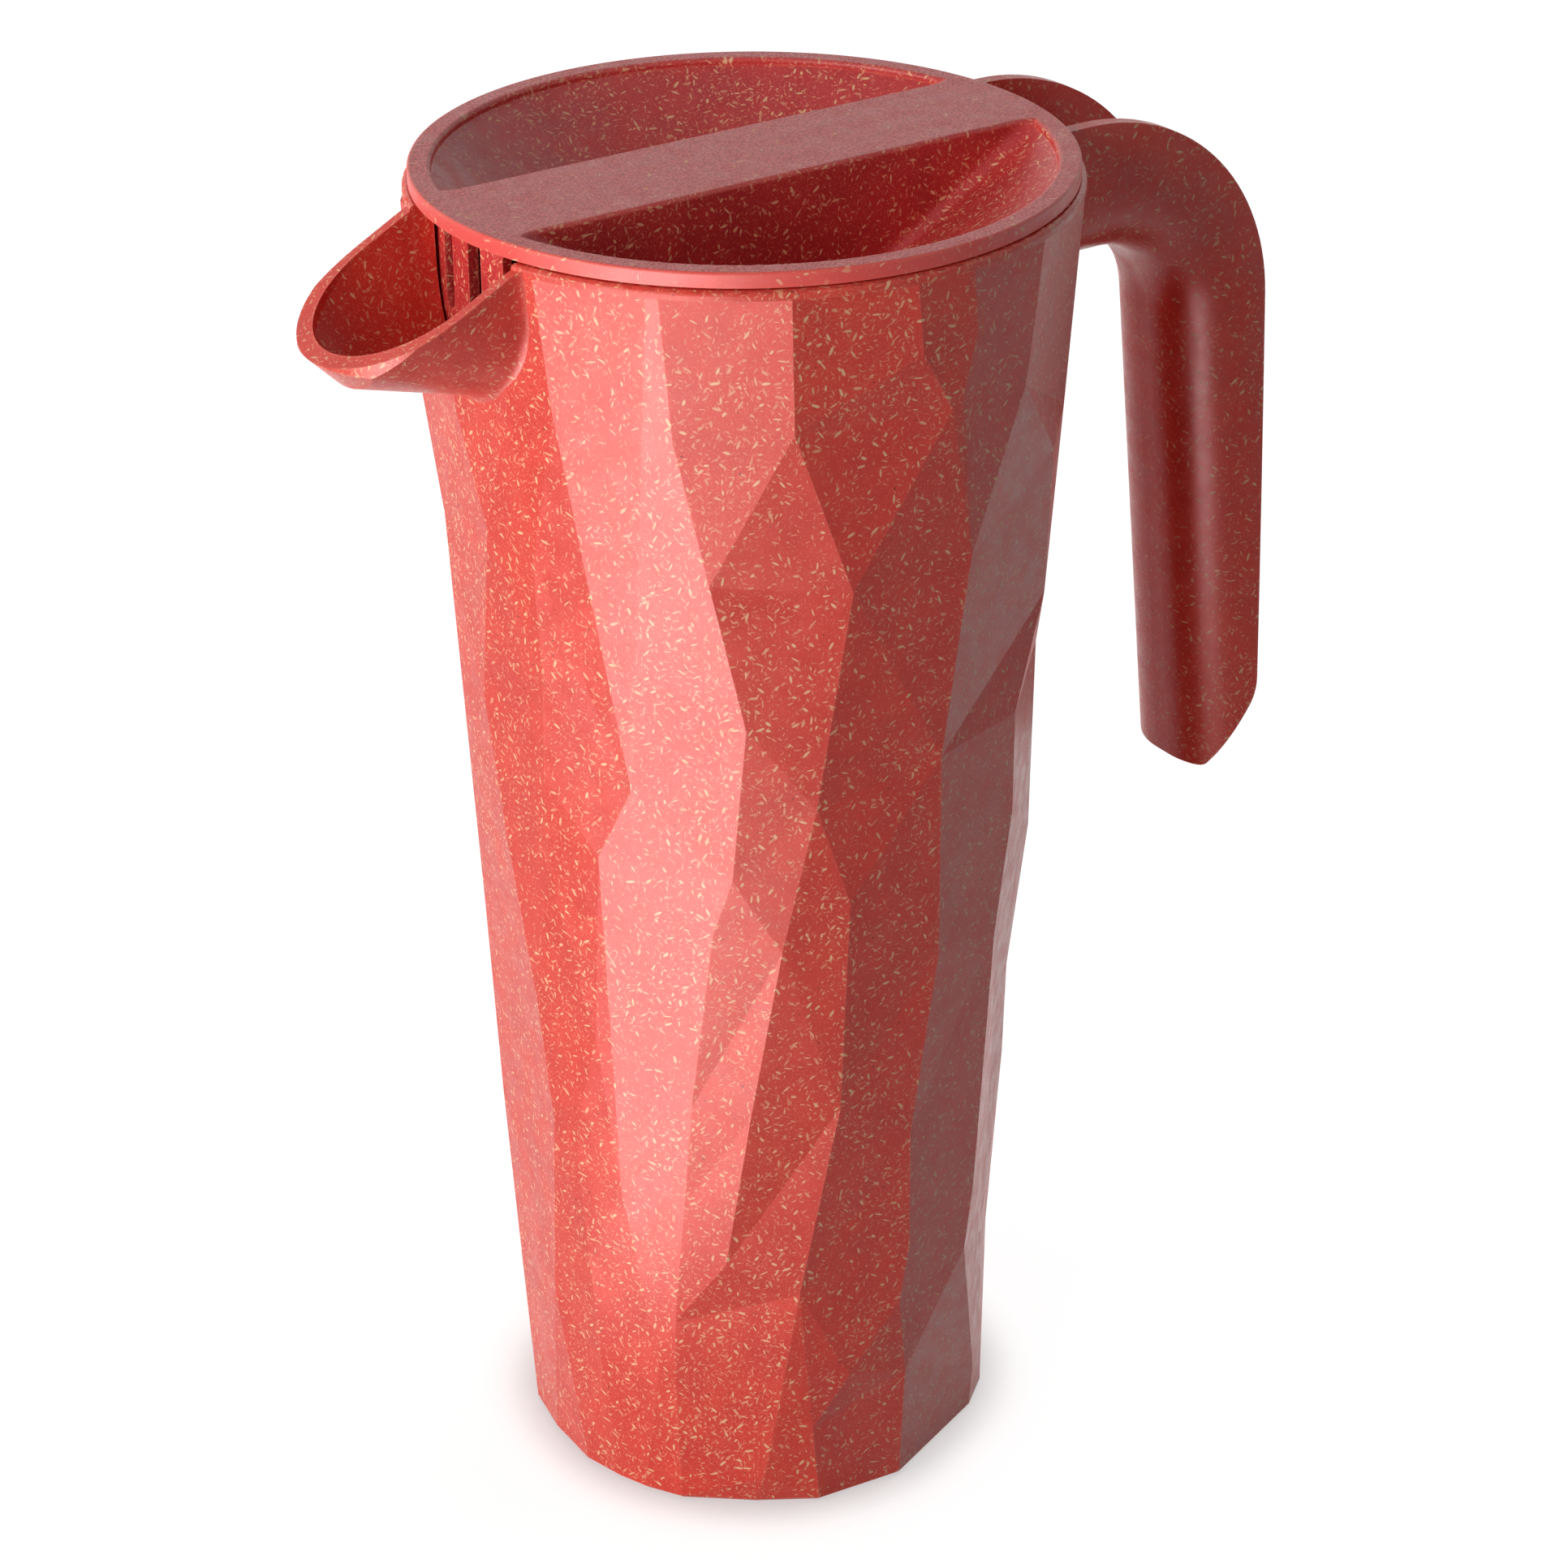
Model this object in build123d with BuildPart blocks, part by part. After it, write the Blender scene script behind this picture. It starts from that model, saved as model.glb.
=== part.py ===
"""Tapered crystal-cut jug with a pouring spout, an open channel handle and a lid that lifts and turns.

Millimetres. The origin is the middle of the base, +Z is up, the spout points along -X and the
handle along +X. Azimuths are in degrees about +Z from +X.
"""
from build123d import *
from math import cos, hypot, radians, sin, tan
import os

os.makedirs("parts", exist_ok=True)

# Jug body
jug_height = 257.0
rim_radius = 59.5
base_radius = 44.6
rim_band = 1.6
rim_round = 0.8
foot_chamfer = 1.0
rim_wall = 4.3
seat_depth = 27.0
seat_draft = 0.4
wall = 4.2
floor_thickness = 4.0
inner_floor_round = 9.0
foot_recess_radius = 36.0
foot_recess_depth = 1.2

# Pouring spout: a tube that rises outwards to a round nose, cut open by the lip line
spout_radius = 19.0
spout_wall = 2.0
spout_axis_drop = 7.5
spout_rise = 16.0
spout_length = 26.5
spout_tip_drop = 16.0
spout_nose_radius = 19.5
spout_nose_slope = 45.0
spout_lip_round = 10.0
spout_lip_inset = 3.0
spout_lip_drop = 0.6
spout_root_round = 4.0
spout_root_inset = 1.0

# Handle: a bent channel with its web towards the jug
handle_width = 34.0
handle_wall = 2.8
handle_section_round = 15.0
handle_top_rise = 0.4
handle_crown_reach = 44.7
handle_crown_radius = 43.0
handle_toe_reach = 50.6
handle_toe_rise = 17.6
handle_toe_round = 14.0
handle_heel_reach = 43.1
handle_heel_round = 1.5
handle_drop = 143.6
bridge_depth = 28.0
bridge_bend_radius = 18.0
web_top_reach = 29.1
web_foot_reach = 40.8

# Lid
lid_rim_inset = 1.0
flange_thickness = 2.7
flange_round = 0.5
flange_ring_width = 4.2
lid_seat_gap = 0.3
bar_width = 25.8
bar_wall = 2.4
dish_edge_round = 0.8
dish_foot_round = 2.5
dish_slope = 34.0
dish_step = 1.4
dish_wall = 2.2
skirt_wall = 2.0
skirt_clearance = 0.4
skirt_depth = 20.0
seat_band_height = 3.7
turn_gap = 0.3

# Strainer slots in the lid's skirt
slot_count = 5
slot_width = 4.2
slot_pitch = 11.2
slot_top_drop = 1.3
slot_length = 16.0

# Creases of the crystal cut. Each runs from the rim to the foot through points of azimuth, height
# in percent of the cut, and how far the point stands proud of the cone where that isn't zero.
# Creases that meet share the points of their common run.
CREASES = [
    [(156, 100, 0.5), (159, 88, 1.0), (163, 78, -0.2), (164, 64, 0.3), (158, 45), (154, 28, 0.5), (156, 12, 0.7), (158, 0, 0.8)],
    [(176, 100), (177, 88), (184, 80), (176, 66), (180, 54), (185, 42), (187, 32), (180, 15), (172, 0)],
    [(176, 100), (177, 88), (184, 80), (176, 66), (180, 54), (185, 42), (187, 32), (180, 15), (188, 0, 0.3)],
    [(192, 100), (193, 90), (196, 79), (196, 70), (194, 62), (193, 55), (202, 41), (197, 35),
     (194, 30), (195, 21), (196, 10), (199, 0)],
    [(201, 100), (203, 90.5), (214, 63), (206, 57), (206, 28), (213, 13), (207, 0)],
    [(201, 100), (203, 90.5), (214, 63), (206, 57), (206, 28), (213, 13), (217, 11.5), (217, 0)],
    [(201, 100), (218.5, 84.5), (216.5, 73), (214, 63), (206, 57), (206, 28), (217.5, 17),
     (217, 11.5), (217, 0)],
    [(221, 100), (218.5, 84.5), (216.5, 73), (214, 63), (206, 57), (206, 28), (217.5, 17),
     (217, 11.5), (217, 0)],
    [(223, 100), (224.5, 90), (230, 79.5), (236, 68.5), (233, 56.5), (229, 52), (223.5, 37),
     (221, 28), (217.5, 17), (217, 11.5), (238, 2.5), (236, 0, -1.2)],
    [(244, 100), (244.5, 90.5), (255, 78.5), (249, 62), (242.5, 50.5), (236, 36.5), (230, 23),
     (217.5, 17), (238, 2.5), (236, 0, -1.2)],
    [(244, 100), (244.5, 90.5), (255, 78.5), (249, 62), (256, 54), (255, 36.5), (246.5, 20),
     (240, 6), (238, 2.5), (236, 0, -1.2)],
    [(244, 100), (244.5, 90.5), (255, 78.5), (249, 62), (256, 54), (255, 36.5), (246.5, 20),
     (250, 7), (252, 0)],
    [(265, 100), (266.5, 95), (273, 90.5), (279.5, 79), (275, 64), (277.5, 47.5), (272.5, 32.5),
     (274, 22), (272, 17), (259, 11.5), (250, 7), (252, 0)],
    [(265, 100), (266.5, 95), (273, 90.5), (279.5, 79), (275, 64), (277.5, 47.5), (272.5, 32.5),
     (274, 22), (272, 17), (275, 10), (275, 0)],
    [(276, 100), (277.5, 95.5), (275, 91), (279.5, 79), (275, 64), (277.5, 47.5), (272.5, 32.5),
     (274, 22), (272, 17), (275, 10), (275, 0)],
    [(294, 100), (293, 95), (291.5, 90), (307, 83), (310, 71.5), (298, 64), (301, 55.5), (297, 46),
     (297, 23.5), (295, 18), (309, 4), (309, 0)],
    [(318, 100, -0.2), (322, 84, -0.5), (319, 66, -1.6), (324, 50, 0.2), (319, 30, -2.7), (322, 14, -1.8), (320, 0, 0.8)],
]

cut_top = jug_height - rim_band
cut_bottom = foot_chamfer


def ridge_radius(height):
    """Radius of the cone that every crease point lies on."""
    return base_radius + (rim_radius - base_radius) * height / cut_top


def ridge_point(azimuth, percent, proud=0.0):
    """A crease point in space."""
    height = cut_bottom + (cut_top - cut_bottom) * percent / 100
    radius = ridge_radius(height) + proud
    return Vector(radius * cos(radians(azimuth)), radius * sin(radians(azimuth)), height)


def meets(point, crease):
    """Whether a crease passes through the point."""
    return any((other - point).length < 0.01 for other in crease)


def stitch(left, right):
    """Triangles between two neighbouring creases, each closed by the shorter diagonal."""
    faces = []
    i = j = 0
    while i < len(left) - 1 or j < len(right) - 1:
        if j == len(right) - 1 or meets(right[j], left[i + 1:]):
            step_left = True
        elif i == len(left) - 1 or meets(left[i], right[j + 1:]):
            step_left = False
        else:
            step_left = (left[i + 1] - right[j]).length < (right[j + 1] - left[i]).length
        corner = left[i + 1] if step_left else right[j + 1]
        triangle = [left[i], right[j], corner]
        sides = [(triangle[k] - triangle[k - 1]).length for k in range(3)]
        if min(sides) > 0.01:
            faces.append(Face(Wire.make_polygon(triangle)))
        if step_left:
            i += 1
        else:
            j += 1
    return faces


def ring_points(creases, end):
    """The creases' first (end 0) or last (end -1) points in order, each once."""
    points = []
    for crease in creases:
        point = crease[end]
        if not points or (point - points[-1]).length > 0.01:
            points.append(point)
    return points


def crystal_solid():
    """Closed faceted body from the foot to the rim band. The cut repeats after half a turn."""
    creases = []
    for turn in (0, 180):
        for crease in CREASES:
            creases.append([ridge_point(point[0] + turn, *point[1:]) for point in crease])
    faces = []
    for index, crease in enumerate(creases):
        faces += stitch(crease, creases[(index + 1) % len(creases)])
    top = ring_points(creases, 0)
    foot = ring_points(creases, -1)
    inset = 1 - foot_chamfer / base_radius
    base = [Vector(point.X * inset, point.Y * inset, 0) for point in foot]
    for index, point in enumerate(foot):
        after = (index + 1) % len(foot)
        faces.append(Face(Wire.make_polygon([point, foot[after], base[after]])))
        faces.append(Face(Wire.make_polygon([point, base[after], base[index]])))
    faces.append(Face(Wire.make_polygon(top)))
    faces.append(Face(Wire.make_polygon(base)))
    return Solid(Shell(faces))


# Heights and radii that several pieces share
seat_foot_height = jug_height - seat_depth
inner_rim_radius = rim_radius - rim_wall
inner_seat_radius = inner_rim_radius - seat_draft
inner_base_radius = ridge_radius(floor_thickness) - wall
lid_radius = rim_radius - lid_rim_inset
flange_underside = jug_height + lid_seat_gap
lid_top_height = flange_underside + flange_thickness
skirt_radius = inner_seat_radius - skirt_clearance
skirt_foot_height = flange_underside - skirt_depth

# The spout's own slanted frame: x across the tube, y up, z outwards along the tube
spout_axis_height = jug_height - spout_axis_drop
spout_reach = rim_radius + spout_length
spout_tip_height = jug_height - spout_tip_drop
spout_lip_start = rim_radius - spout_lip_inset
spout_slope = tan(radians(spout_rise))
spout_root = Plane(
    origin=(0, 0, spout_axis_height - rim_radius * spout_slope),
    x_dir=(0, -1, 0),
    z_dir=(-cos(radians(spout_rise)), 0, sin(radians(spout_rise))),
)
tube_length = 1.3 * spout_reach
tube_top = 2 * spout_radius
cut_reach = 3 * spout_radius
lip_top_height = jug_height - spout_lip_drop
nose_fall = tan(radians(spout_nose_slope))
nose_centre_x = spout_nose_radius - spout_reach


def spout_tube(inset):
    """The spout's solid or, with its wall as the inset, its bore: a tube that a cone ends as a nose."""
    radius = spout_radius - inset
    nose_radius = spout_nose_radius - inset / sin(radians(spout_nose_slope))
    nose_foot = spout_tip_height - nose_radius / nose_fall
    with BuildPart() as tube:
        with BuildSketch(spout_root):
            Circle(radius)
            with Locations((0, tube_top / 2)):
                Rectangle(2 * radius, tube_top)
        extrude(amount=tube_length)
        with BuildPart(mode=Mode.INTERSECT):
            with BuildSketch(Plane.XZ):
                with BuildLine():
                    Polyline(
                        (nose_centre_x, nose_foot),
                        (nose_centre_x - nose_radius, spout_tip_height),
                        (nose_centre_x - 1.1 * nose_radius, spout_tip_height + cut_reach),
                        (nose_centre_x, spout_tip_height + cut_reach),
                        (nose_centre_x, nose_foot),
                    )
                make_face()
            revolve(axis=Axis((nose_centre_x, 0, 0), (0, 0, 1)))
            with Locations((nose_centre_x, 0, 0)):
                Box(
                    -nose_centre_x,
                    4 * spout_radius,
                    2 * jug_height,
                    align=(Align.MIN, Align.CENTER, Align.MIN),
                )
    return tube.part


with BuildPart() as vessel_block:
    add(crystal_solid())
    with BuildSketch(Plane.XY.offset(cut_top)):
        Circle(rim_radius)
    extrude(amount=rim_band)
    rim_edge = vessel_block.edges().filter_by(GeomType.CIRCLE).sort_by(Axis.Z)[-1]
    fillet(rim_edge, rim_round)

with BuildPart() as jug_body:
    add(vessel_block.part)
    # Inside: a drafted seat for the lid's skirt above a tapered well
    with BuildSketch(Plane.XZ) as well:
        with BuildLine():
            Polyline(
                (0, floor_thickness),
                (inner_base_radius, floor_thickness),
                (inner_seat_radius, seat_foot_height),
                (inner_rim_radius, jug_height),
                (0, jug_height),
                (0, floor_thickness),
            )
        make_face()
        floor_corner = well.vertices().sort_by_distance((inner_base_radius, floor_thickness))[0]
        fillet(floor_corner, inner_floor_round)
    revolve(axis=Axis.Z, mode=Mode.SUBTRACT)
    # Foot: a shallow recess leaves a ring to stand on
    with BuildSketch(Plane.XY):
        Circle(foot_recess_radius)
    extrude(amount=foot_recess_depth, taper=30, mode=Mode.SUBTRACT)
    add(spout_tube(spout_wall), mode=Mode.SUBTRACT)
jug_body.part.label = "jug_body"
export_step(jug_body.part, "parts/jug_body.step")

with BuildPart() as lip_cut:
    with BuildSketch(Plane.XZ):
        with BuildLine():
            lip_fall = (lip_top_height - spout_tip_height) / (spout_reach - spout_lip_start)
            lip_root = (-spout_lip_start + spout_radius, lip_top_height)
            lip_end = (-spout_reach - spout_radius, spout_tip_height - lip_fall * spout_radius)
            FilletPolyline(
                lip_root,
                (-spout_lip_start, lip_top_height),
                lip_end,
                radius=spout_lip_round,
            )
            Polyline(
                lip_end,
                (-spout_reach - cut_reach, spout_tip_height - lip_fall * spout_radius),
                (-spout_reach - cut_reach, jug_height + cut_reach),
                (-spout_lip_start + spout_radius, jug_height + cut_reach),
                lip_root,
            )
        make_face()
    extrude(amount=tube_top, both=True)

with BuildPart() as pouring_spout:
    add(spout_tube(0))
    # The blend is struck on a cone just inside the cut, so that it dies out under the facets
    with BuildSketch(Plane.XZ):
        with BuildLine():
            blend_foot = jug_height - cut_reach
            blend_top = jug_height + cut_reach
            Polyline(
                (0, blend_foot),
                (ridge_radius(blend_foot) - spout_root_inset, blend_foot),
                (ridge_radius(blend_top) - spout_root_inset, blend_top),
                (0, blend_top),
                (0, blend_foot),
            )
        make_face()
    revolve(axis=Axis.Z)
    root_edges = [
        edge
        for edge in pouring_spout.edges()
        if -rim_radius - spout_root_round < edge.center().X < -rim_radius / 2
        and abs(edge.center().Y) < 1.05 * spout_radius
        and edge.center().Z < jug_height + spout_radius
    ]
    fillet(root_edges, spout_root_round)
    add(spout_tube(spout_wall), mode=Mode.SUBTRACT)
    add(lip_cut.part, mode=Mode.SUBTRACT)
    with BuildSketch(Plane.XY):
        Circle(inner_rim_radius + 1)
    extrude(amount=2 * jug_height, mode=Mode.SUBTRACT)
    add(vessel_block.part, mode=Mode.SUBTRACT)
    with Locations((-spout_reach / 2, 0, jug_height)):
        Box(spout_reach, 2.6 * spout_radius, 4 * spout_radius, mode=Mode.INTERSECT)
pouring_spout.part.label = "pouring_spout"
export_step(pouring_spout.part, "parts/pouring_spout.step")

# Handle: its side outline, then the channel left open outwards and upwards
handle_top_height = jug_height + handle_top_rise
bridge_underside = jug_height - bridge_depth
handle_root_x = inner_rim_radius + 1
handle_crown_x = rim_radius + handle_crown_reach
handle_foot_height = jug_height - handle_drop
handle_toe_x = rim_radius + handle_toe_reach
handle_toe_height = handle_foot_height + handle_toe_rise
handle_heel_x = rim_radius + handle_heel_reach
web_top_x = rim_radius + web_top_reach
web_foot_x = rim_radius + web_foot_reach


with BuildPart() as handle_channel:
    channel_half = handle_width / 2 - handle_wall
    lean = (web_foot_x - web_top_x) / (bridge_underside - handle_foot_height)
    channel_floor = bridge_underside + handle_wall
    channel_top = handle_top_height + handle_width
    channel_end = handle_foot_height - handle_width
    with BuildSketch(Plane.XZ) as channel_side:
        with BuildLine():
            Polyline(
                (0, channel_floor),
                (web_top_x + handle_wall, channel_floor),
                (web_foot_x + handle_wall + handle_width * lean, channel_end),
                (2 * handle_toe_x, channel_end),
                (2 * handle_toe_x, channel_top),
                (0, channel_top),
                (0, channel_floor),
            )
        make_face()
        bend = channel_side.vertices().sort_by_distance((web_top_x + handle_wall, channel_floor))[0]
        fillet(bend, bridge_bend_radius + handle_wall)
    extrude(amount=channel_half, both=True)
    floor_edges = [
        edge
        for edge in handle_channel.edges()
        if abs(abs(edge.center().Y) - channel_half) < 0.01
        and edge.center().Z < channel_floor + 1
        and edge.center().Z > channel_end + 1
        and edge.center().X < web_foot_x + handle_wall
    ]
    fillet(floor_edges, handle_section_round - handle_wall)

with BuildPart() as handle:
    with BuildSketch(Plane.XZ) as handle_side:
        with BuildLine():
            Polyline(
                (handle_root_x, handle_top_height),
                (handle_crown_x, handle_top_height),
                (handle_toe_x, handle_toe_height),
                (handle_heel_x, handle_foot_height),
                (web_foot_x, handle_foot_height),
                (web_top_x, bridge_underside),
                (handle_root_x, bridge_underside),
                (handle_root_x, handle_top_height),
            )
        make_face()
        for corner, radius in (
            ((handle_crown_x, handle_top_height), handle_crown_radius),
            ((handle_toe_x, handle_toe_height), handle_toe_round),
            ((handle_heel_x, handle_foot_height), handle_heel_round),
            ((web_top_x, bridge_underside), bridge_bend_radius),
        ):
            fillet(handle_side.vertices().sort_by_distance(corner)[0], radius)
    extrude(amount=handle_width / 2, both=True)
    outer_edges = [
        edge
        for edge in handle.edges()
        if abs(abs(edge.center().Y) - handle_width / 2) < 0.01
        and edge.center().Z < bridge_underside + 1
        and edge.center().Z > handle_foot_height + 1
        and edge.center().X < web_foot_x - 0.5
    ]
    fillet(outer_edges, handle_section_round)
    add(handle_channel.part, mode=Mode.SUBTRACT)
    add(vessel_block.part, mode=Mode.SUBTRACT)
    with BuildSketch(Plane.XY.offset(jug_height - rim_round)):
        Circle(rim_radius)
    extrude(amount=5, mode=Mode.SUBTRACT)
handle.part.label = "handle"
export_step(handle.part, "parts/handle.step")

# Lid: a flange, two conical dishes and the bar that is left between them
dish_rim_radius = lid_radius - flange_ring_width
dish_fall = tan(radians(dish_slope))
cone_drop = dish_wall / cos(radians(dish_slope))
cone_top = lid_top_height - dish_step

with BuildPart() as lid_top:
    with BuildSketch(Plane.XZ):
        with BuildLine():
            Polyline(
                (0, lid_top_height),
                (lid_radius, lid_top_height),
                (lid_radius, flange_underside),
                (skirt_radius, flange_underside),
                (skirt_radius, cone_top - cone_drop + (skirt_radius - dish_rim_radius) * dish_fall),
                (0, cone_top - cone_drop - dish_rim_radius * dish_fall),
                (0, lid_top_height),
            )
        make_face()
    revolve(axis=Axis.Z)
    with BuildSketch(Plane.XZ):
        with BuildLine():
            Polyline(
                (0, lid_top_height),
                (dish_rim_radius, lid_top_height),
                (dish_rim_radius, cone_top),
                (0, cone_top - dish_rim_radius * dish_fall),
                (0, lid_top_height),
            )
        make_face()
    dishes = revolve(axis=Axis.Z, mode=Mode.PRIVATE)
    bar = Box(3 * lid_radius, bar_width, 3 * lid_radius, mode=Mode.PRIVATE)
    bar = bar.moved(Location((0, 0, lid_top_height)))
    add(dishes - bar, mode=Mode.SUBTRACT)
    hollow_length = 2 * (dish_rim_radius - 4)
    hollow_width = bar_width - 2 * dish_wall
    with BuildSketch(Plane.XY.offset(lid_top_height - bar_wall)):
        RectangleRounded(hollow_length, hollow_width, 2)
    extrude(amount=-2 * lid_radius, mode=Mode.SUBTRACT)
    bar_foot_edges = [
        edge
        for edge in lid_top.edges().filter_by(GeomType.HYPERBOLA)
        if abs(abs(edge.center().Y) - bar_width / 2) < 0.01
    ]
    fillet(bar_foot_edges, dish_foot_round)
    top_edges = lid_top.edges().filter_by_position(Axis.Z, lid_top_height - 0.01, lid_top_height + 0.01)
    flange_edge = top_edges.sort_by(SortBy.LENGTH)[-1]
    dish_edges = [edge for edge in top_edges if edge.length < flange_edge.length - 1]
    fillet(flange_edge, flange_round)
    fillet(dish_edges, dish_edge_round)
lid_top.part.label = "lid_top"
export_step(lid_top.part, "parts/lid_top.step")

with BuildPart() as strainer_skirt:
    with BuildSketch(Plane.XY.offset(skirt_foot_height)):
        Circle(skirt_radius)
        Circle(skirt_radius - skirt_wall, mode=Mode.SUBTRACT)
    extrude(amount=skirt_depth)
    for index in range(slot_count):
        azimuth = 180 + slot_pitch * (index - (slot_count - 1) / 2)
        outward = (cos(radians(azimuth)), sin(radians(azimuth)), 0)
        slot_middle = flange_underside - slot_top_drop - slot_length / 2
        slot_plane = Plane(origin=(0, 0, slot_middle), x_dir=(0, 0, 1), z_dir=outward)
        with BuildSketch(slot_plane):
            SlotOverall(slot_length, slot_width)
        extrude(amount=lid_radius, mode=Mode.SUBTRACT)
    add(lid_top.part, mode=Mode.SUBTRACT)
strainer_skirt.part.label = "strainer_skirt"
export_step(strainer_skirt.part, "parts/strainer_skirt.step")

with BuildPart() as seat_band:
    with BuildSketch(Plane.XY.offset(skirt_foot_height - turn_gap)):
        Circle(skirt_radius)
        Circle(skirt_radius - skirt_wall, mode=Mode.SUBTRACT)
    extrude(amount=-seat_band_height)
seat_band.part.label = "seat_band"
export_step(seat_band.part, "parts/seat_band.step")
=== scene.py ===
"""Looks for a red, fibre-flecked plastic jug with a pouring spout, an open handle and a strainer lid."""
import math

import bpy
from mathutils import Matrix, Vector


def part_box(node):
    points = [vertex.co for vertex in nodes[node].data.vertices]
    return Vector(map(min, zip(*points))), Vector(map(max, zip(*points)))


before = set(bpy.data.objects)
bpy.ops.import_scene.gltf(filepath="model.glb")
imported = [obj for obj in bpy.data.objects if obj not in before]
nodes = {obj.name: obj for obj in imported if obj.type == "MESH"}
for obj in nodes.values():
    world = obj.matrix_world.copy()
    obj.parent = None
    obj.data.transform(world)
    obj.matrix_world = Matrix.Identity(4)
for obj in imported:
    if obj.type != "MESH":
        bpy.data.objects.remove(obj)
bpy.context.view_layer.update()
MM = 0.001

# Camera: stands at the spout side of the near face and looks down at the lid
CAMERA_PLACE = Vector((-0.35387, -0.54129, 0.48097))
CAMERA_FORWARD = Vector((0.48976, 0.73383, -0.47078))
CAMERA_ROLL = -0.00663
CAMERA_LENS = 89.25
CAMERA_CLIP = (0.02, 20.0)
SENSOR_WIDTH = 36.0

# Soft boxes: a broad one low on the spout side, a fainter one behind the jug, and one above for the floor
LAMP_AIM = Vector((0, 0, 0.13))
KEY_PLACE = Vector((-1.47, -0.20, 0.45))
KEY_SIDE = 1.3
KEY_POWER = 28.0
KEY_COLOUR = (1.0, 0.96, 0.89)
BACK_PLACE = Vector((0.28, 1.58, 0.36))
BACK_SIDE = 1.2
BACK_POWER = 12.0
OVERHEAD_PLACE = Vector((0, 0, 1.4))
OVERHEAD_SIDE = 0.3
OVERHEAD_POWER = 3.5

# Glows: bright patches of the table that the facets mirror. Each has its middle, its sides and its power.
GLOW_HEIGHT = 2 * MM
NEAR_GLOW = (Vector((-0.235, -0.12, GLOW_HEIGHT)), (0.27, 0.24), 1.6)
FAR_GLOW = (Vector((-0.50, -0.25, GLOW_HEIGHT)), (0.36, 0.46), 7.4)

# Floor and surroundings: white to look at and dim as a light, with a painted shadow close to the foot
AMBIENT = 0.12
FLOOR_SIZE = 8.0
FLOOR_WHITE = (0.4, 0.4, 0.4)
FLOOR_ROUGHNESS = 0.8
FLOOR_FILL = 0.915
PAINTED_SHADOW_FILL = 0.55
PAINTED_SHADOW_REACH = 12 * MM
PAINTED_SHADOW_OPEN = 0.4

# Colours of the plastic and of what is in it, with painted shade, painted sheen and a painted edge highlight
RED = (0.79, 0.060, 0.040)
DEEP_RED = (0.72, 0.050, 0.036)
# Darker reds of the lid's dishes, skirt and band: painted shade of the recesses, mottled at random
SHADED_RECESS_RED = (0.60, 0.038, 0.042)
SHADED_RECESS_DEEP_RED = (0.50, 0.028, 0.034)
RIM_RED = (0.84, 0.085, 0.075)
# Paler red along sharp edges: rubbed plastic and a painted edge highlight
WORN_AND_HIGHLIGHT_RED = (0.86, 0.17, 0.13)
# Pale pinks of the lid's upward faces: a painted sheen of the white surroundings, on a fine grain
TOP_SHEEN_PALE = (0.88, 0.230, 0.220)
TOP_SHEEN_DARK = (0.50, 0.080, 0.085)
STRAW = (0.93, 0.55, 0.32)
HUSK = (0.93, 0.40, 0.25)
DUST = (0.92, 0.24, 0.16)
SPECK = (0.10, 0.012, 0.012)

# Fibres: the smallest size and the faintest strength of one, and where its colour fades out and in
FIBRE_SMALLEST = 0.5
FIBRE_FAINTEST = 0.45
FIBRE_EDGE = (0.62, 0.36)

# Surface: rubbed edges with a painted edge highlight, fine grain, and the lid's rim and its upper faces with
# a painted sheen
WEAR_AND_HIGHLIGHT_WIDTH = 0.7 * MM
WEAR_AND_HIGHLIGHT_TURN = (0.9995, 0.985)
GRAIN_SIZE = 0.45 * MM
GRAIN_DEPTH = 0.03 * MM
GRAIN_STRENGTH = 0.35
TOP_SHEEN_DEPTH = 0.5 * MM
TOP_SHEEN_TILT = (0.90, 0.97)
TOP_SHEEN_GRAIN = (0.40, 0.60)
TOP_SHEEN_ROUGHNESS = 0.05
HUSK_GLOSS = 0.1
RIM_EDGE = (1.2 * MM, 0.9 * MM)
FEWER_FIBRES = 0.75

X_AXIS = (1, 0, 0)
Y_AXIS = (0, 1, 0)
Z_AXIS = (0, 0, 1)
LID_NODES = ("lid_top", "strainer_skirt", "seat_band")


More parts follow.
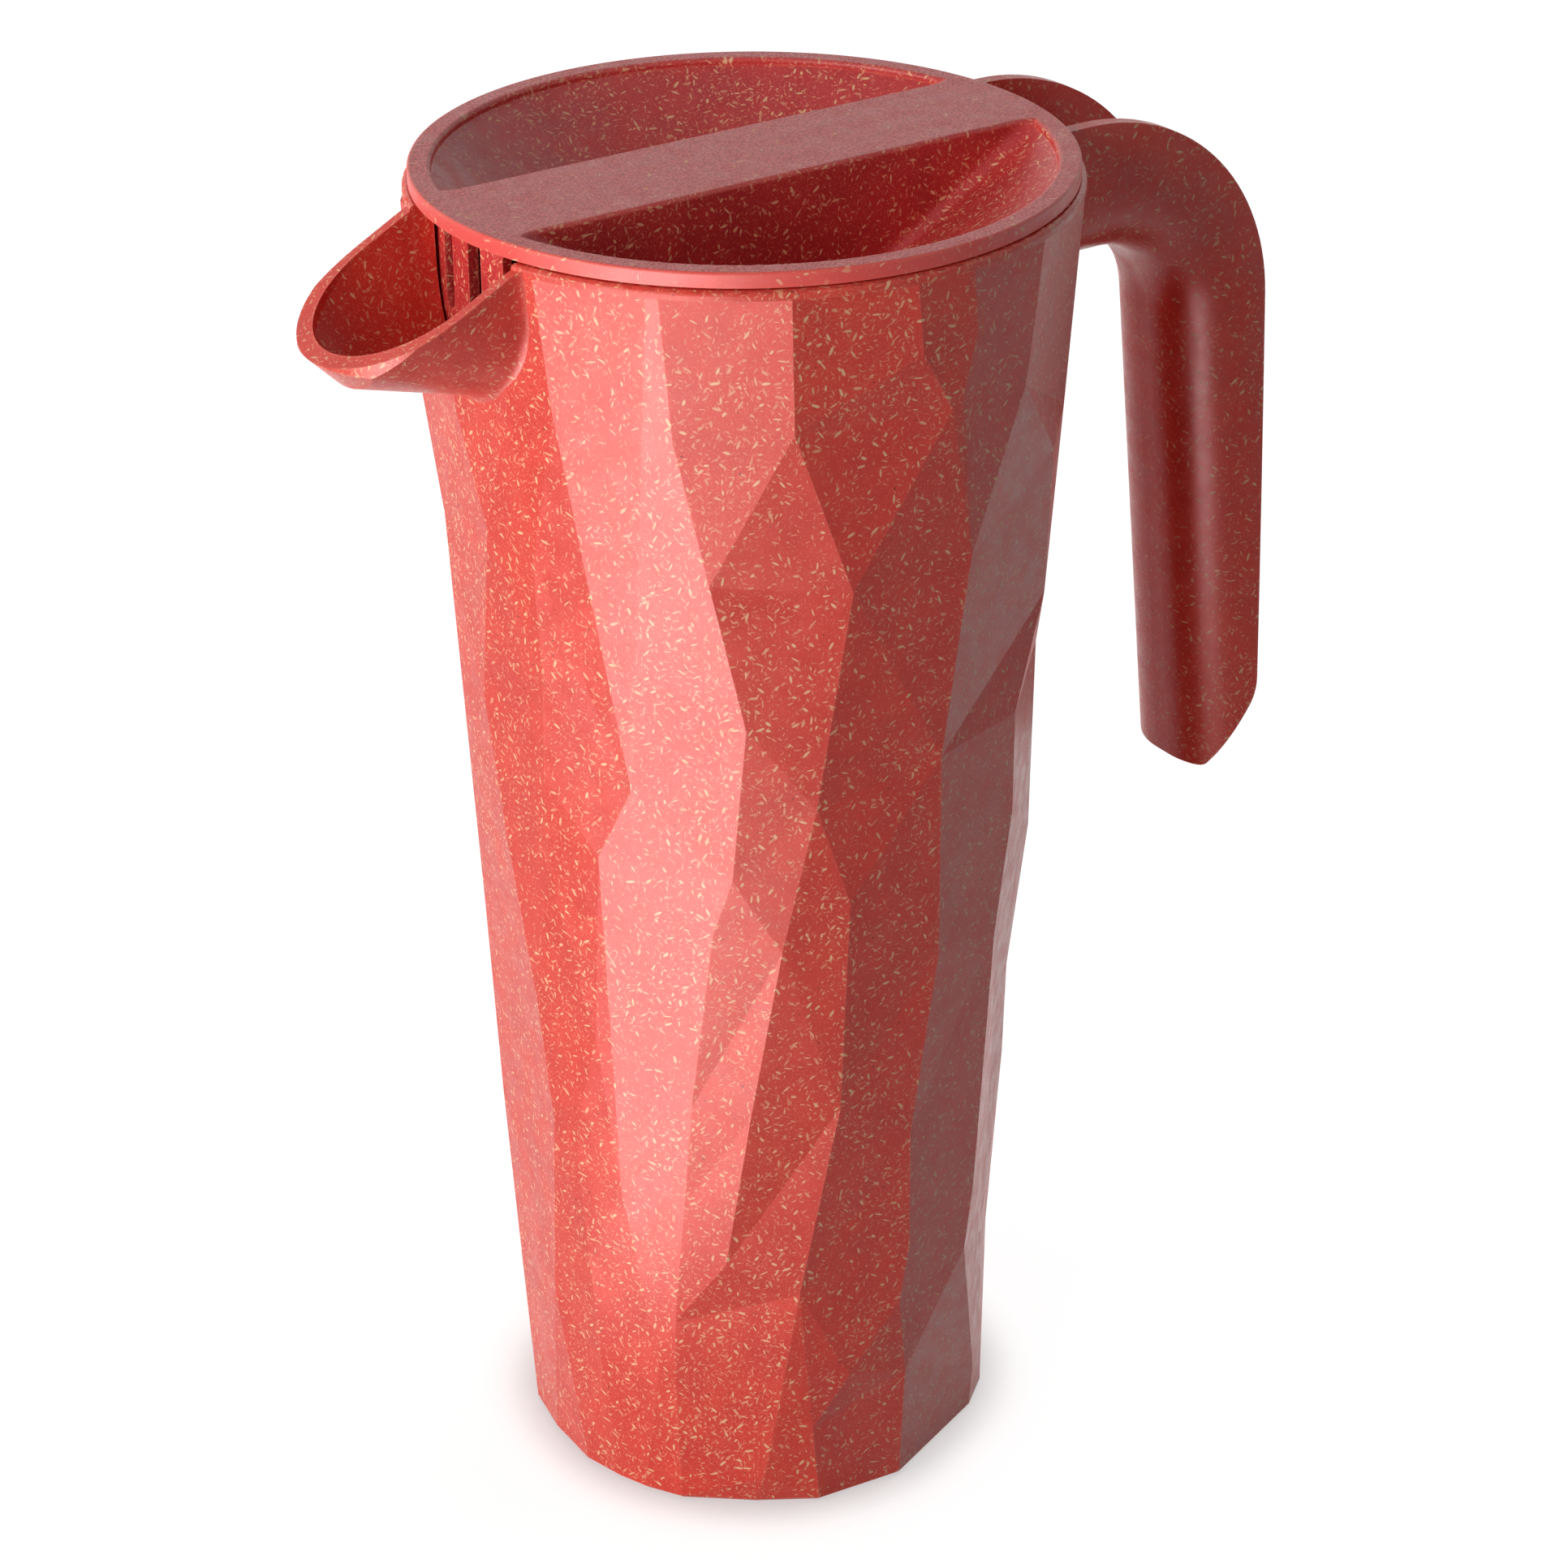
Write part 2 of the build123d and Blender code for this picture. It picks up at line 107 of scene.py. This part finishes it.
class Nodes:
    """Makes the nodes of one tree: an input that is a socket is linked, and any other is set."""

    def __init__(self, tree):
        self.tree = tree

    def add(self, kind, inputs, **settings):
        node = self.tree.nodes.new(kind)
        for setting, choice in settings.items():
            setattr(node, setting, choice)
        for key, given in inputs.items():
            if isinstance(given, bpy.types.NodeSocket):
                self.tree.links.new(given, node.inputs[key])
            else:
                node.inputs[key].default_value = given
        return node

    def math(self, operation, *given):
        node = self.add("ShaderNodeMath", dict(enumerate(given)), operation=operation)
        return node.outputs["Value"]

    def vector(self, operation, *given, output="Vector"):
        node = self.add("ShaderNodeVectorMath", dict(enumerate(given)), operation=operation)
        return node.outputs[output]

    def dot(self, one, other):
        return self.vector("DOT_PRODUCT", one, other, output="Value")

    def length(self, one):
        return self.vector("LENGTH", one, output="Value")

    def times(self, one, factor):
        node = self.add("ShaderNodeVectorMath", {0: one, "Scale": factor}, operation="SCALE")
        return node.outputs["Vector"]

    def ramp(self, given, start, end, low=0.0, high=1.0):
        inputs = {"Value": given, 1: start, 2: end, 3: low, 4: high}
        node = self.add("ShaderNodeMapRange", inputs, interpolation_type="SMOOTHSTEP")
        return node.outputs["Result"]

    def blend(self, factor, one, other):
        """From one colour to the other. Each is a socket or three numbers."""
        inputs = {0: factor}
        for key, colour in ((6, one), (7, other)):
            inputs[key] = (*colour, 1.0) if isinstance(colour, tuple) else colour
        return self.add("ShaderNodeMix", inputs, data_type="RGBA").outputs[2]

    def noise(self, place, size, detail):
        inputs = {"Vector": place, "Scale": 1 / size, "Detail": detail}
        return self.add("ShaderNodeTexNoise", inputs).outputs["Fac"]

    def patches(self, place, size, detail, spread, low=0.0, high=1.0):
        """Soft patches of about this size, from low to high. A smaller spread makes them crisper."""
        return self.ramp(self.noise(place, size, detail), 0.5 - spread, 0.5 + spread, low, high)

    def flatten(self, one, normal):
        """The part of a vector that lies in the surface."""
        return self.vector("SUBTRACT", one, self.times(normal, self.dot(one, normal)))

    def edge_wear_and_highlight(self, place):
        """A narrow, patchy, paler band along the sharp edges: rubbed skin of the plastic and a painted edge
        highlight.
        """
        rounded = self.add("ShaderNodeBevel", {"Radius": WEAR_AND_HIGHLIGHT_WIDTH}, samples=4).outputs["Normal"]
        sharp = self.add("ShaderNodeNewGeometry", {}).outputs["Normal"]
        turn = self.ramp(self.dot(rounded, sharp), *WEAR_AND_HIGHLIGHT_TURN)
        rubbed_and_highlit = self.patches(place, size=5 * MM, detail=3, spread=0.15, low=0.15, high=0.7)
        return self.math("MULTIPLY", turn, rubbed_and_highlit)

    def fibres(self, place, normal, spacing, length, width, share):
        """Straight fibres that lie in the surface: one to a cell of this spacing, in a share of them."""
        cells = self.add("ShaderNodeTexVoronoi", {"Vector": place, "Scale": 1 / spacing})
        chance = self.add("ShaderNodeTexWhiteNoise", {"Vector": cells.outputs["Color"]}).outputs["Color"]
        offset = self.flatten(self.vector("SUBTRACT", place, cells.outputs["Position"]), normal)
        lean = self.vector("SUBTRACT", cells.outputs["Color"], (0.5, 0.5, 0.5))
        course = self.vector("NORMALIZE", self.flatten(lean, normal))
        own_length = self.ramp(self.dot(chance, X_AXIS), 0, 1, FIBRE_SMALLEST * length, length)
        own_width = self.ramp(self.dot(cells.outputs["Color"], X_AXIS), 0, 1, FIBRE_SMALLEST * width, width)
        squeeze = self.math("SUBTRACT", 1, self.math("DIVIDE", own_width, own_length))
        along = self.math("MULTIPLY", self.dot(offset, course), squeeze)
        reach = self.length(self.vector("SUBTRACT", offset, self.times(course, along)))
        shape = self.ramp(self.math("DIVIDE", reach, own_width), *FIBRE_EDGE)
        chosen = self.math("LESS_THAN", self.dot(chance, Y_AXIS), share)
        strength = self.ramp(self.dot(chance, Z_AXIS), 0, 1, FIBRE_FAINTEST, 1)
        return self.math("MULTIPLY", self.math("MULTIPLY", shape, chosen), strength)


def flecked(name, roughness, specular, lid_size=None):
    """Red plastic with straw fibres. A lid's height and radius give it painted shade in its dishes and skirt,
    and a grainy painted sheen on its upper faces.
    """
    material = bpy.data.materials.new(name)
    material.use_nodes = True
    tree = Nodes(material.node_tree)
    shader = material.node_tree.nodes["Principled BSDF"]
    shader.inputs["Specular IOR Level"].default_value = specular
    texture = tree.add("ShaderNodeTexCoord", {})
    place = texture.outputs["Object"]
    normal = texture.outputs["Normal"]

    mottle = tree.patches(place, size=9 * MM, detail=4, spread=0.15)
    grain = tree.noise(place, GRAIN_SIZE, detail=3)
    crowding = tree.patches(place, size=22 * MM, detail=3, spread=0.2, low=0.6, high=1.2)
    smooth, dull = roughness - 0.05, roughness + 0.06
    gloss = tree.patches(place, size=4 * MM, detail=4, spread=0.2, low=smooth, high=dull)
    colour = tree.blend(mottle, RED, DEEP_RED)
    if lid_size is not None:
        lid_height, lid_radius = lid_size
        # Painted sheen: upward faces near the lid's top take a pale, grainy pink
        sheen_foot = lid_height - TOP_SHEEN_DEPTH - MM
        upward = tree.ramp(tree.dot(normal, Z_AXIS), *TOP_SHEEN_TILT)
        high_up = tree.ramp(tree.dot(place, Z_AXIS), sheen_foot, sheen_foot + MM)
        top_sheen = tree.math("MULTIPLY", upward, high_up)
        radius = tree.length(tree.vector("MULTIPLY", place, (1, 1, 0)))
        rim = tree.ramp(radius, *(lid_radius - inset for inset in RIM_EDGE))
        plain = tree.math("MULTIPLY", tree.math("MAXIMUM", top_sheen, rim), FEWER_FIBRES)
        crowding = tree.math("MULTIPLY", crowding, tree.math("SUBTRACT", 1, plain))
        gloss = tree.math("ADD", gloss, tree.math("MULTIPLY", top_sheen, TOP_SHEEN_ROUGHNESS))
        # Painted shade: the lid's dishes, skirt and band take a darker red than the jug
        shaded_recess = tree.blend(mottle, SHADED_RECESS_RED, SHADED_RECESS_DEEP_RED)
        top_sheen_colour = tree.blend(tree.ramp(grain, *TOP_SHEEN_GRAIN), TOP_SHEEN_DARK, TOP_SHEEN_PALE)
        colour = tree.blend(top_sheen, tree.blend(rim, shaded_recess, RIM_RED), top_sheen_colour)

    def layer(spacing, length, width, share):
        own_share = tree.math("MULTIPLY", crowding, share)
        return tree.fibres(place, normal, spacing * MM, length * MM, width * MM, own_share)

    husks = layer(spacing=2.1, length=1.7, width=0.54, share=0.58)
    straws = layer(spacing=1.3, length=1.2, width=0.32, share=0.62)
    dust = layer(spacing=0.7, length=0.8, width=0.22, share=0.90)
    specks = layer(spacing=5.0, length=0.5, width=0.40, share=0.30)
    # Painted edge highlight and rubbed edges: a paler red along sharp edges
    colour = tree.blend(tree.edge_wear_and_highlight(place), colour, WORN_AND_HIGHLIGHT_RED)
    for seen, strength, own_colour in (
        (dust, 0.6, DUST),
        (straws, 0.9, HUSK),
        (husks, 1.0, STRAW),
        (specks, 0.8, SPECK),
    ):
        colour = tree.blend(tree.math("MULTIPLY", seen, strength), colour, own_colour)
    gloss = tree.math("ADD", gloss, tree.math("MULTIPLY", husks, HUSK_GLOSS))
    relief = {"Height": grain, "Strength": GRAIN_STRENGTH, "Distance": GRAIN_DEPTH}
    bump = tree.add("ShaderNodeBump", relief).outputs["Normal"]
    for result, key in ((colour, "Base Color"), (gloss, "Roughness"), (bump, "Normal")):
        material.node_tree.links.new(result, shader.inputs[key])
    return material


def make_camera():
    forward = CAMERA_FORWARD.normalized()
    right = forward.cross(Vector(Z_AXIS)).normalized()
    up = right.cross(forward)
    rolled_right = right * math.cos(CAMERA_ROLL) + up * math.sin(CAMERA_ROLL)
    rolled_up = rolled_right.cross(forward)
    data = bpy.data.cameras.new("camera")
    data.lens = CAMERA_LENS
    data.sensor_width = SENSOR_WIDTH
    data.clip_start, data.clip_end = CAMERA_CLIP
    camera = bpy.data.objects.new("camera", data)
    matrix = Matrix((rolled_right, rolled_up, -forward)).transposed().to_4x4()
    matrix.translation = CAMERA_PLACE
    camera.matrix_world = matrix
    bpy.context.scene.collection.objects.link(camera)
    bpy.context.scene.camera = camera


def seen_directly(tree):
    """1 for rays that look at the background straight or in a reflection, and 0 for rays that light."""
    path = tree.add("ShaderNodeLightPath", {})
    seen = tree.math("ADD", path.outputs["Is Camera Ray"], path.outputs["Is Glossy Ray"])
    return tree.math("MINIMUM", tree.math("ADD", seen, path.outputs["Is Transmission Ray"]), 1)


def make_floor():
    """A white floor with a painted shadow close to the object."""
    bpy.ops.mesh.primitive_plane_add(size=FLOOR_SIZE, location=(0, 0, 0))
    floor = bpy.context.object
    floor.name = "floor"
    material = bpy.data.materials.new("floor")
    material.use_nodes = True
    tree = Nodes(material.node_tree)
    shader = material.node_tree.nodes["Principled BSDF"]
    shader.inputs["Base Color"].default_value = (*FLOOR_WHITE, 1)
    shader.inputs["Roughness"].default_value = FLOOR_ROUGHNESS
    shader.inputs["Emission Color"].default_value = (1, 1, 1, 1)
    # Painted shadow: the floor's white fill is dimmed where the object is near
    near = tree.add("ShaderNodeAmbientOcclusion", {"Distance": PAINTED_SHADOW_REACH}, samples=8).outputs["AO"]
    shadowed_fill = tree.ramp(near, PAINTED_SHADOW_OPEN, 1, PAINTED_SHADOW_FILL, FLOOR_FILL)
    fill = tree.math("MULTIPLY", seen_directly(tree), shadowed_fill)
    material.node_tree.links.new(fill, shader.inputs["Emission Strength"])
    floor.data.materials.append(material)
    floor.visible_diffuse = False
    return floor


def make_surroundings():
    """A world that is white to look at and dim as a light."""
    world = bpy.data.worlds.new("world")
    world.use_nodes = True
    tree = Nodes(world.node_tree)
    background = world.node_tree.nodes["Background"]
    background.inputs["Color"].default_value = (1, 1, 1, 1)
    strength = tree.ramp(seen_directly(tree), 0, 1, AMBIENT, 1)
    world.node_tree.links.new(strength, background.inputs["Strength"])
    bpy.context.scene.world = world


def make_lamp(name, place, aim, sides, power, colour=(1, 1, 1)):
    """A rectangular soft box that points from its place to its aim."""
    data = bpy.data.lights.new(name, "AREA")
    data.shape = "RECTANGLE"
    data.size, data.size_y = sides
    data.energy = power
    data.color = colour
    lamp = bpy.data.objects.new(name, data)
    lamp.location = place
    lamp.rotation_mode = "QUATERNION"
    lamp.rotation_quaternion = (aim - place).to_track_quat("-Z", "Y")
    bpy.context.scene.collection.objects.link(lamp)
    return lamp


def light_only(lamp, pieces):
    """The lamp lights these pieces alone, and everything still stands in its way."""
    receivers = bpy.data.collections.new(lamp.name + "_receivers")
    for piece in pieces:
        receivers.objects.link(piece)
    lamp.light_linking.receiver_collection = receivers


def make_glow(name, place, sides, power):
    """A patch of the table that shines upwards and is seen in reflections alone."""
    glow = make_lamp(name, place, place + Vector(Z_AXIS), sides, power)
    glow.visible_camera = False
    glow.visible_diffuse = False


lid_low, lid_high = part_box("lid_top")
lid_size = (lid_high[2], (lid_high[0] - lid_low[0]) / 2)
jug_material = flecked("jug_plastic", roughness=0.34, specular=0.32)
lid_material = flecked("lid_plastic", roughness=0.42, specular=0.5, lid_size=lid_size)
for name, node in nodes.items():
    node.data.materials.clear()
    node.data.materials.append(lid_material if name in LID_NODES else jug_material)

floor = make_floor()
make_surroundings()
key = make_lamp("key", KEY_PLACE, LAMP_AIM, (KEY_SIDE, KEY_SIDE), KEY_POWER, KEY_COLOUR)
light_only(key, nodes.values())
back = make_lamp("back", BACK_PLACE, LAMP_AIM, (BACK_SIDE, BACK_SIDE), BACK_POWER)
back.visible_glossy = False
light_only(back, nodes.values())
overhead_sides = (OVERHEAD_SIDE, OVERHEAD_SIDE)
overhead = make_lamp("overhead", OVERHEAD_PLACE, Vector(), overhead_sides, OVERHEAD_POWER)
light_only(overhead, [floor])
make_glow("near_glow", *NEAR_GLOW)
make_glow("far_glow", *FAR_GLOW)
make_camera()
bpy.context.scene.view_settings.view_transform = "Standard"
